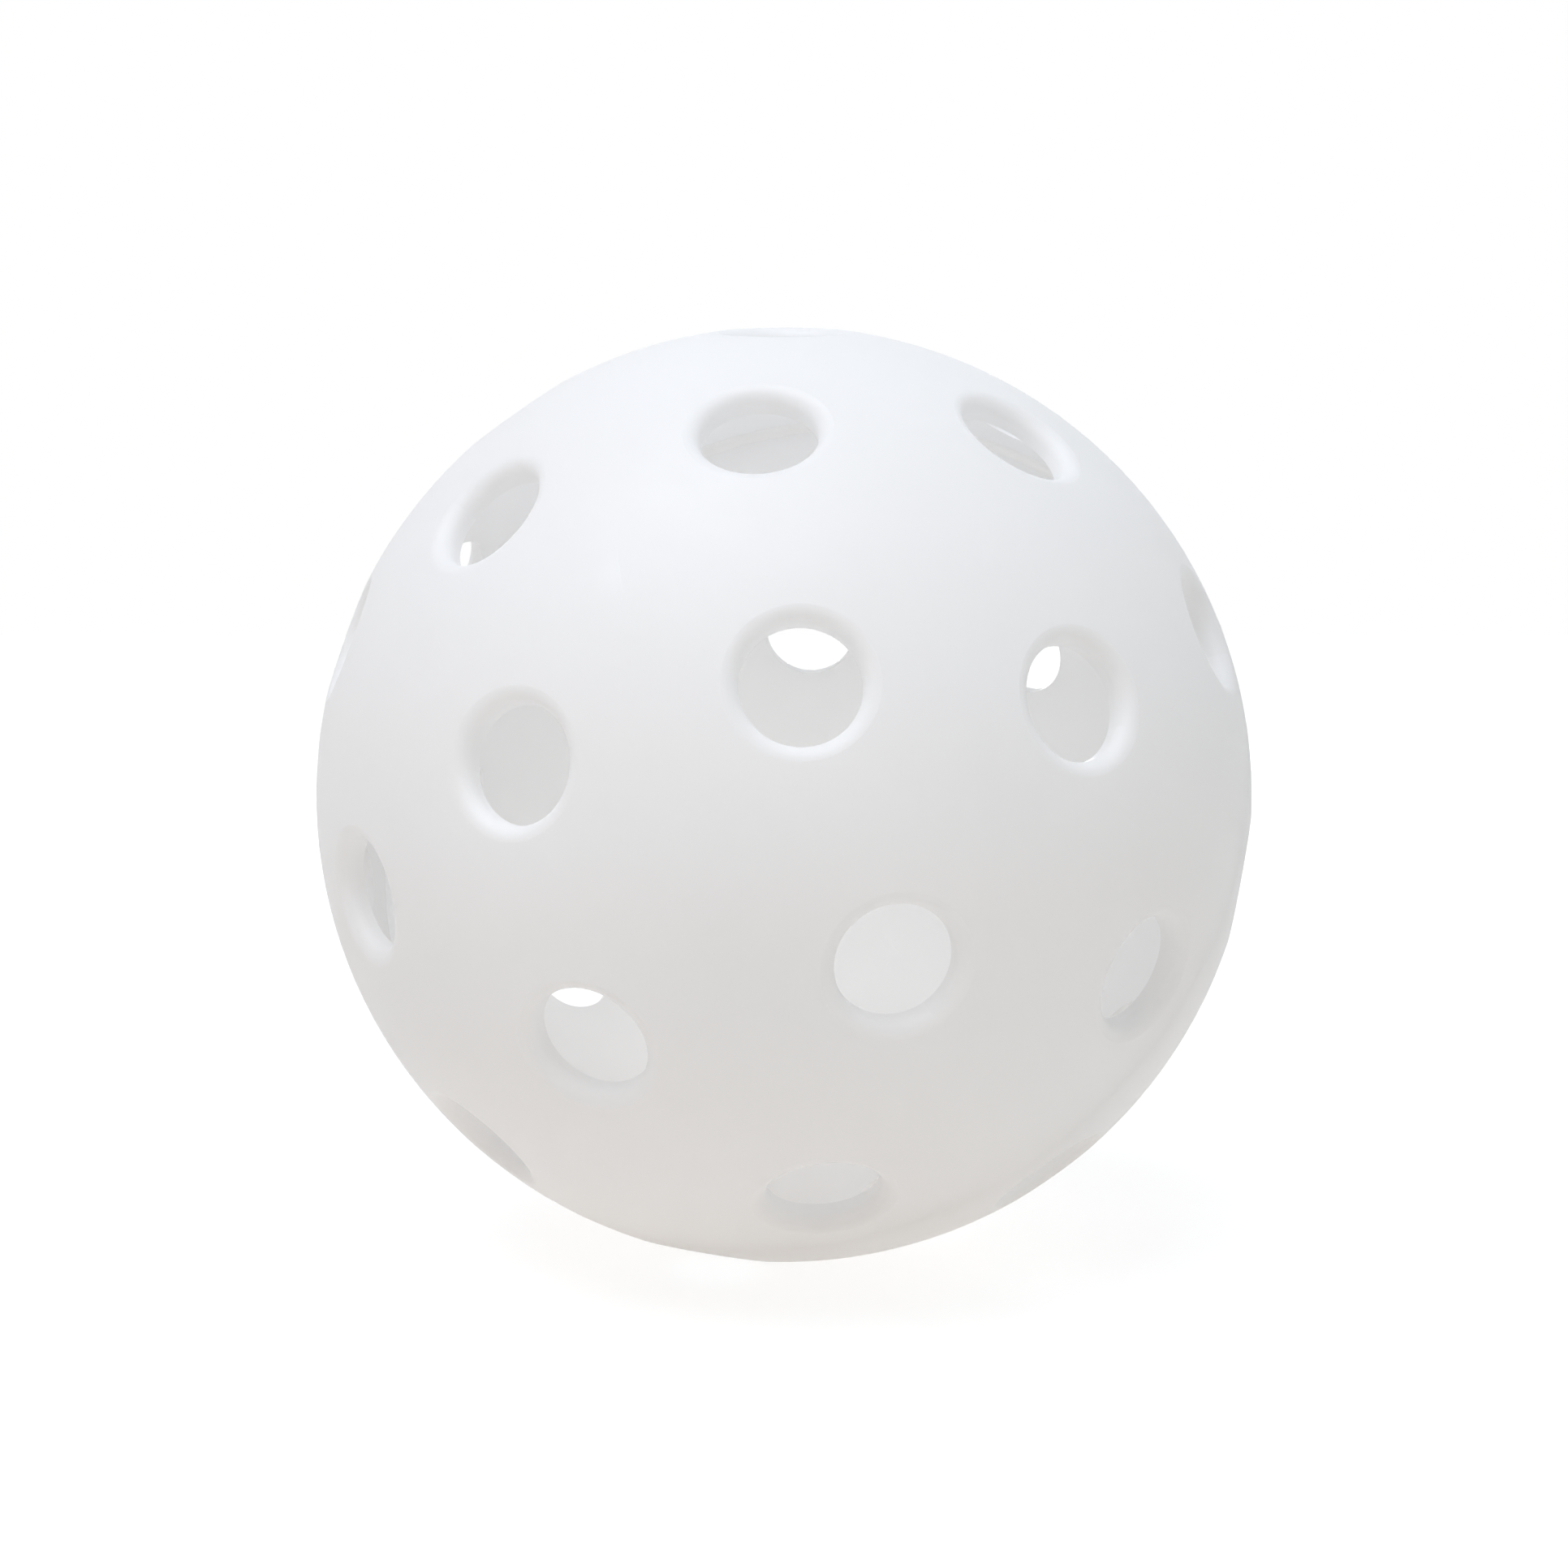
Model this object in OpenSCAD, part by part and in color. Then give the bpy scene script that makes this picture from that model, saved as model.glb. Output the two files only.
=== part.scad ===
// Perforated plastic ball, moulded as two half shells that are welded at a tongue and groove seam.
// The origin is the centre of the ball. The moulding axis leans as the ball lies at rest.

/* [Ball] */
// Outside diameter of the ball
ball_d = 74; // [72:0.5:76]
// Thickness of the moulded wall
wall = 1.9; // [1.6:0.1:2.6]

/* [Air holes] */
// Bore of each air hole
bore_d = 8.2; // [7:0.1:9.4]
// Radius of the rounded lip where a hole opens on the outside
lip_r = 1.1; // [0.6:0.1:1.6]
// Number of holes in the ring round each pole
crown_count = 4; // [3:1:5]
// Latitude of the ring round each pole, in degrees from the seam
crown_lat = 67; // [65:0.5:69]
// Number of holes in each of the two lower rings of a half
belt_count = 8; // [6:1:9]
// Latitude of the middle ring
middle_lat = 38.5; // [36:0.5:40]
// Latitude of the ring beside the seam
seam_lat = 12; // [11:0.5:13]

/* [Seam] */
// Height of the tongue on the front half's rim
tongue_h = 0.9; // [0.6:0.1:1.4]
// Thickness of the tongue
tongue_w = 0.6; // [0.4:0.1:0.8]
// Clearance of the tongue in the rear half's groove
tongue_gap = 0.05; // [0.02:0.01:0.1]
// Depth of the recess in the inner edge of both rims that the weld fills
weld_depth = 0.5; // [0.3:0.1:0.7]
// Width of the weld across the seam
weld_w = 1.4; // [1:0.1:2]
// Height that the weld stands into the ball
weld_crown = 0.4; // [0.2:0.1:0.6]

/* [Resting pose] */
// Angle that the moulding axis leans away from upright
lean = 62; // [0:1:90]
// Compass direction of the lean, counted from +X towards +Y
heading = 251; // [0:1:359]
// Turn of both halves about the moulding axis
spin = 18; // [0:1:89]

/* [Hidden] */
$fn = 96;
shell_white = [0.93, 0.94, 0.95];
weld_white = [0.88, 0.88, 0.87];

ball_r = ball_d / 2;
inner_r = ball_r - wall;
bore_r = bore_d / 2;
spare = 1;

// The lip is a ring of round section that touches the bore and runs out just proud of the ball
lip_proud = 0.005;
lip_ring_r = bore_r + lip_r;
lip_reach = ball_r - lip_r + lip_proud;
lip_z = sqrt(lip_reach * lip_reach - lip_ring_r * lip_ring_r);
mouth_r = ball_r * lip_ring_r / lip_reach;

// Each ring of holes: latitude, number of holes, angle of the first one
ring_rows = [
    [crown_lat, crown_count, 180 / crown_count],
    [middle_lat, belt_count, 180 / belt_count],
    [seam_lat, belt_count, 0]
];
// The rear half is turned by half a pitch, so its holes fall between those across the seam
stagger = 180 / belt_count;

weld_seat_r = inner_r + weld_depth;
tongue_r = (weld_seat_r + ball_r) / 2;

// Arc through both corners of the weld's recess that stands weld_crown into the ball
weld_arc_r = (weld_w * weld_w / 4 + weld_crown * weld_crown) / (2 * weld_crown);

// Puts a piece from the moulding frame, with its seam level, into the resting pose
module lay_down() {
    rotate([0, lean, heading])
        rotate([0, 0, spin])
            children();
}

// Section of one half shell above the seam, with the recess for the weld in its inner edge
module wall_section() {
    difference() {
        intersection() {
            circle(ball_r);
            square(ball_r);
        }
        circle(inner_r);
        square([weld_seat_r, weld_w / 2]);
    }
}

// Section of the tongue, or of the groove round it, across the seam
module tongue_section(gap, below, above) {
    translate([tongue_r - tongue_w / 2 - gap, -below])
        square([tongue_w + 2 * gap, below + above]);
}

// Tool that cuts one air hole along +Z, with its bore and its rounded lip
module hole_tool() {
    rotate_extrude() {
        translate([0, inner_r - spare])
            square([bore_r, wall + 2 * spare]);
        difference() {
            translate([0, lip_z])
                square([mouth_r, ball_r - lip_z + spare]);
            translate([lip_ring_r, lip_z])
                circle(lip_r);
        }
    }
}

// All the air holes of one half
module hole_rings() {
    for (row = ring_rows)
        for (i = [0 : row[1] - 1])
            rotate([0, 90 - row[0], row[2] + i * 360 / row[1]])
                hole_tool();
}

module front_half() {
    color(shell_white)
        lay_down()
            difference() {
                rotate_extrude() {
                    wall_section();
                    tongue_section(0, tongue_h, spare);
                }
                hole_rings();
            }
}

module rear_half() {
    color(shell_white)
        lay_down()
            rotate([180, 0, stagger])
                difference() {
                    rotate_extrude()
                        difference() {
                            wall_section();
                            tongue_section(tongue_gap, spare, tongue_h + tongue_gap);
                        }
                    hole_rings();
                }
}

// Ring of remelted plastic that closes the seam on the inside
module seam_weld() {
    color(weld_white)
        lay_down()
            rotate_extrude()
                intersection() {
                    translate([inner_r - weld_crown + weld_arc_r, 0])
                        circle(weld_arc_r);
                    translate([inner_r - weld_crown, -weld_w / 2])
                        square([weld_crown + weld_depth, weld_w]);
                }
}

front_half();
rear_half();
seam_weld();
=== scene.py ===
"""Looks of the perforated plastic ball: milky satin halves, their weld, a pale studio and the camera."""
import math

import bmesh
import bpy
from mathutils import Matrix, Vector


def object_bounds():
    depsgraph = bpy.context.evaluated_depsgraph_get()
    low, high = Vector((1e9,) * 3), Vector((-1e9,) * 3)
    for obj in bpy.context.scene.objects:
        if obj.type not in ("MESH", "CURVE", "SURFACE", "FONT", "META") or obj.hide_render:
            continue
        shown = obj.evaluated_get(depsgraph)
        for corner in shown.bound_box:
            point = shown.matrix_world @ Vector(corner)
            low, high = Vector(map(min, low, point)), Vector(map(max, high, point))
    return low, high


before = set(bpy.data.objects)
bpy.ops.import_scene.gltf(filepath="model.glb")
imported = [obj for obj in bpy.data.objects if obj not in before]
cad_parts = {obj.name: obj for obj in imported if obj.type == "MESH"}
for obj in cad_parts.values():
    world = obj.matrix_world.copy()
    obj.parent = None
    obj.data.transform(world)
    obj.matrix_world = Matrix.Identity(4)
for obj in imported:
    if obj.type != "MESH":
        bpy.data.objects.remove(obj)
cad_low, cad_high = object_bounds()

BALL_R = (cad_high.x - cad_low.x) / 2
BALL_CENTRE = (0, 0, 0)
FLOOR_Z = cad_low.z

# Camera: as near, as high and as long as the photograph's, with angles in degrees
IMAGE_SIDE = 1932
BALL_RADIUS_PX = 576.5
BALL_DROP_PX = 12.5
CAMERA_TURN = 0.4
CAMERA_ELEVATION = 4.6
CAMERA_RADII = 4.8
SENSOR_MM = 36
NEAREST_SEEN = 0.01

# Shell: linear colours, the share of light that goes through each face of its wall, and the satin
SHELL_WHITE = (0.976, 0.977, 0.978, 1)
SHELL_CLOUD = (0.966, 0.967, 0.968, 1)
SHELL_THROUGH = 0.42
SHELL_ROUGHNESS = 0.42

# Weld: it lies against the wall, so no light goes through it. Its white is set lighter than the shell's,
# a painted lift that stands in for the light that doesn't come through it
WELD_WHITE_PAINTED_LIFT = (0.992, 0.992, 0.991, 1)
WELD_CLOUD_PAINTED_LIFT = (0.986, 0.986, 0.985, 1)
WELD_THROUGH = 0.0
WELD_ROUGHNESS = 0.5

# Skin of both: each noise has its scale per metre and its detail, and the polish noise, from low to high,
# takes the roughness from a little smoother to a little rougher
CLOUD_NOISE = (90, 3)
POLISH_NOISE = (260, 4)
GRAIN_NOISE = (3200, 2)
POLISH_LOW = 0.3
POLISH_HIGH = 0.7
SMOOTHER = 0.05
ROUGHER = 0.07
GRAIN_STRENGTH = 0.12
GRAIN_DEPTH = 0.00004
PLASTIC_IOR = 1.51
PLASTIC_SHINE = 0.3

# Floor: what it sends back to the ball, and what the eye sees of it
FLOOR_HALF = 6
FLOOR_BOUNCE = (0.86, 0.80, 0.735, 1)
FLOOR_SHADE = (0.33, 0.33, 0.33, 1)
# Near the ball the glow is dimmed, a painted shade round the ball that deepens its real shadow
FLOOR_GLOW_NEAR_PAINTED_SHADE = 0.77
FLOOR_GLOW_FAR = 1.0
SHADOW_REACH = 7 * BALL_R

# Light tent round the ball: where each cloth hangs and how bright it is
TENT_CLOTHS = [
    ((-1, 0, 0), (0.31, 0.30, 0.30)),
    ((1, 0, 0), (0.60, 0.66, 0.70)),
    ((0, -1, 0), (0.35, 0.31, 0.27)),
    ((0, 1, 0), (0.28, 0.28, 0.28)),
]
PLAIN_WHITE = (1, 1, 1, 1)

# Lamps: name, place, the point that each shines at, side in metres, power in watts, colour
PANEL_LIFT = 0.0004
PANEL_Z = FLOOR_Z + PANEL_LIFT
PANEL_BACK = 0.065
LAMPS = [
    ("overhead", (-0.14, -0.22, 0.60), BALL_CENTRE, 0.5, 3.8, (0.87, 0.92, 1.0)),
    ("behind", (0, 0.75, 0.07), BALL_CENTRE, 0.2, 2.2, (1, 1, 1)),
    # Panels that lie on the floor and shine up, one behind the ball and a faint one under it
    ("floor_panel", (0, PANEL_BACK, PANEL_Z), (0, PANEL_BACK, 0), 0.09, 0.009, (1, 1, 1)),
    ("under_panel", (0, 0, PANEL_Z), BALL_CENTRE, 0.05, 0.0009, (1, 0.97, 0.93)),
]
LIGHT_BOUNCES = 48


def add_node(tree, kind, **sockets):
    """New node in tree, with the named input sockets set."""
    node = tree.nodes.new(kind)
    for name, value in sockets.items():
        node.inputs[name.replace("_", " ")].default_value = value
    return node


def add_math(tree, operation, first, second):
    """Math node on two sockets or numbers, as its output socket."""
    node = tree.nodes.new("ShaderNodeMath")
    node.operation = operation
    for socket, value in zip(node.inputs, (first, second)):
        if isinstance(value, (int, float)):
            socket.default_value = value
        else:
            tree.links.new(value, socket)
    return node.outputs[0]


def add_vector_math(tree, operation):
    """Vector Math node of one operation, with nothing linked to it yet."""
    node = tree.nodes.new("ShaderNodeVectorMath")
    node.operation = operation
    return node


def fresh_material(name):
    """New material with no nodes, and its node tree."""
    material = bpy.data.materials.new(name)
    material.use_nodes = True
    material.node_tree.nodes.clear()
    return material, material.node_tree


def lumps(tree, place, per_metre, detail):
    """Noise over the piece's own place."""
    noise = add_node(tree, "ShaderNodeTexNoise", Scale=per_metre, Detail=detail)
    tree.links.new(place.outputs["Object"], noise.inputs["Vector"])
    return noise.outputs["Fac"]


def milky_plastic(name, white, cloud, through, roughness):
    """Moulded polyethylene: satin skin, faint clouds, and a wall that lets some light through."""
    material, tree = fresh_material(name)
    link = tree.links.new
    place = add_node(tree, "ShaderNodeTexCoord")
    skin = add_node(tree, "ShaderNodeBsdfPrincipled", IOR=PLASTIC_IOR, Specular_IOR_Level=PLASTIC_SHINE)
    glow = add_node(tree, "ShaderNodeBsdfTranslucent")
    # Slow clouds in the colour, from the flow of the melt
    tint = add_node(tree, "ShaderNodeMix")
    tint.data_type = "RGBA"
    tint.inputs["A"].default_value = white
    tint.inputs["B"].default_value = cloud
    link(lumps(tree, place, *CLOUD_NOISE), tint.inputs["Factor"])
    link(tint.outputs["Result"], skin.inputs["Base Color"])
    link(tint.outputs["Result"], glow.inputs["Color"])
    # Satin that varies a little with the mould's polish
    satin = add_node(tree, "ShaderNodeMapRange", From_Min=POLISH_LOW, From_Max=POLISH_HIGH,
                     To_Min=roughness - SMOOTHER, To_Max=roughness + ROUGHER)
    link(lumps(tree, place, *POLISH_NOISE), satin.inputs["Value"])
    link(satin.outputs["Result"], skin.inputs["Roughness"])
    # Fine grain of the mould's skin
    grain = add_node(tree, "ShaderNodeBump", Strength=GRAIN_STRENGTH, Distance=GRAIN_DEPTH)
    link(lumps(tree, place, *GRAIN_NOISE), grain.inputs["Height"])
    link(grain.outputs["Normal"], skin.inputs["Normal"])
    wall = add_node(tree, "ShaderNodeMixShader", Fac=through)
    out = add_node(tree, "ShaderNodeOutputMaterial")
    link(skin.outputs["BSDF"], wall.inputs[1])
    link(glow.outputs["BSDF"], wall.inputs[2])
    link(wall.outputs[0], out.inputs["Surface"])
    return material


def dress(node, material):
    """Gives a CAD node its finish."""
    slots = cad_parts[node].data.materials
    for i in range(len(slots)):
        slots[i] = material


def seen_directly(tree):
    """1 for a ray from the camera, off gloss or through glass, and 0 for the light on the ball."""
    path = add_node(tree, "ShaderNodeLightPath")
    seen = add_math(tree, "MAXIMUM", path.outputs["Is Camera Ray"], path.outputs["Is Glossy Ray"])
    seen = add_math(tree, "MAXIMUM", seen, path.outputs["Is Transmission Ray"])
    # A ray that the milky wall scatters is a transmission ray and a diffuse one, and counts as light
    straight = add_math(tree, "SUBTRACT", 1, path.outputs["Is Diffuse Ray"])
    return add_math(tree, "MULTIPLY", seen, straight)


def pick_shader(tree, for_light, for_eye, out_kind):
    """Sends for_eye to what looks straight at the surface, and for_light to the light on the ball."""
    pick = add_node(tree, "ShaderNodeMixShader")
    out = add_node(tree, out_kind)
    tree.links.new(seen_directly(tree), pick.inputs[0])
    tree.links.new(for_light.outputs[0], pick.inputs[1])
    tree.links.new(for_eye.outputs[0], pick.inputs[2])
    tree.links.new(pick.outputs[0], out.inputs["Surface"])


def floor_finish():
    """White to the eye, with the ball's soft shadow, partly real and partly painted shade from a dimmer
    glow near the ball; for light, a pale warm bounce.
    """
    material, tree = fresh_material("pale_floor")
    link = tree.links.new
    bounce = add_node(tree, "ShaderNodeBsdfDiffuse", Color=FLOOR_BOUNCE)
    shade = add_node(tree, "ShaderNodeBsdfDiffuse", Color=FLOOR_SHADE)
    white = add_node(tree, "ShaderNodeEmission")
    shown = add_node(tree, "ShaderNodeAddShader")
    # The glow is dimmer near the ball, a painted shade round it, and rises to plain white away from the
    # ball, past the reach of its shadow
    place = add_node(tree, "ShaderNodeTexCoord")
    distance = add_vector_math(tree, "LENGTH")
    glow = add_node(tree, "ShaderNodeMapRange", From_Min=BALL_R, From_Max=SHADOW_REACH,
                    To_Min=FLOOR_GLOW_NEAR_PAINTED_SHADE, To_Max=FLOOR_GLOW_FAR)
    link(place.outputs["Object"], distance.inputs[0])
    link(distance.outputs["Value"], glow.inputs["Value"])
    link(glow.outputs["Result"], white.inputs["Strength"])
    link(shade.outputs[0], shown.inputs[0])
    link(white.outputs[0], shown.inputs[1])
    pick_shader(tree, bounce, shown, "ShaderNodeOutputMaterial")
    return material


def pale_floor():
    """Wide level floor that the ball rests on."""
    mesh = bpy.data.meshes.new("floor")
    shape = bmesh.new()
    bmesh.ops.create_grid(shape, x_segments=1, y_segments=1, size=FLOOR_HALF)
    bmesh.ops.translate(shape, verts=shape.verts, vec=(0, 0, FLOOR_Z))
    shape.to_mesh(mesh)
    shape.free()
    mesh.materials.append(floor_finish())
    floor = bpy.data.objects.new("floor", mesh)
    bpy.context.scene.collection.objects.link(floor)


def tent_cloth(tree, place, side, colour):
    """Light of one cloth, brightest at the middle of its side and none on the far side."""
    facing = add_vector_math(tree, "DOT_PRODUCT")
    facing.inputs[1].default_value = side
    tree.links.new(place.outputs["Generated"], facing.inputs[0])
    cloth = add_vector_math(tree, "SCALE")
    cloth.inputs[0].default_value = colour
    tree.links.new(add_math(tree, "MAXIMUM", facing.outputs["Value"], 0), cloth.inputs["Scale"])
    return cloth.outputs[0]


def light_tent():
    """White to the eye; for light, a tent with one cloth on each side."""
    world = bpy.data.worlds.new("light_tent")
    world.use_nodes = True
    tree = world.node_tree
    tree.nodes.clear()
    place = add_node(tree, "ShaderNodeTexCoord")
    room = add_node(tree, "ShaderNodeBackground")
    white = add_node(tree, "ShaderNodeBackground", Color=PLAIN_WHITE)
    cloths = [tent_cloth(tree, place, side, colour) for side, colour in TENT_CLOTHS]
    light = cloths[0]
    for cloth in cloths[1:]:
        both = add_vector_math(tree, "ADD")
        tree.links.new(light, both.inputs[0])
        tree.links.new(cloth, both.inputs[1])
        light = both.outputs[0]
    tree.links.new(light, room.inputs["Color"])
    pick_shader(tree, room, white, "ShaderNodeOutputWorld")
    bpy.context.scene.world = world


def soft_lamp(name, place, aim, side, power, colour):
    """Square area lamp at place that shines towards aim and isn't seen itself."""
    data = bpy.data.lights.new(name, "AREA")
    data.size = side
    data.energy = power
    data.color = colour
    lamp = bpy.data.objects.new(name, data)
    lamp.location = place
    lamp.rotation_euler = (Vector(aim) - Vector(place)).to_track_quat("-Z", "Y").to_euler()
    lamp.visible_camera = False
    bpy.context.scene.collection.objects.link(lamp)


def studio_camera():
    """Camera that sees the ball as large and as low in the picture as the photograph does."""
    turn = math.radians(CAMERA_TURN)
    rise = math.radians(CAMERA_ELEVATION)
    back = Vector((math.sin(turn) * math.cos(rise), -math.cos(turn) * math.cos(rise), math.sin(rise)))
    data = bpy.data.cameras.new("camera")
    data.sensor_width = SENSOR_MM
    data.lens = SENSOR_MM * BALL_RADIUS_PX / IMAGE_SIDE * math.sqrt(CAMERA_RADII ** 2 - 1)
    data.shift_y = BALL_DROP_PX / IMAGE_SIDE
    data.clip_start = NEAREST_SEEN
    camera = bpy.data.objects.new("camera", data)
    camera.location = back * CAMERA_RADII * BALL_R
    camera.rotation_euler = (-back).to_track_quat("-Z", "Y").to_euler()
    bpy.context.scene.collection.objects.link(camera)
    bpy.context.scene.camera = camera


bpy.context.scene.view_settings.view_transform = "Standard"
# Light goes round many times inside a white ball with holes
bpy.context.scene.cycles.max_bounces = LIGHT_BOUNCES
bpy.context.scene.cycles.diffuse_bounces = LIGHT_BOUNCES
bpy.context.scene.cycles.transmission_bounces = LIGHT_BOUNCES

studio_camera()
light_tent()
pale_floor()
for lamp_row in LAMPS:
    soft_lamp(*lamp_row)

shell_finish = milky_plastic("shell_satin", SHELL_WHITE, SHELL_CLOUD, SHELL_THROUGH, SHELL_ROUGHNESS)
# The weld's lighter white is a painted lift that makes up for the shade it would show
weld_finish = milky_plastic("weld_satin", WELD_WHITE_PAINTED_LIFT, WELD_CLOUD_PAINTED_LIFT, WELD_THROUGH, WELD_ROUGHNESS)
dress("front_half", shell_finish)
dress("rear_half", shell_finish)
dress("seam_weld", weld_finish)
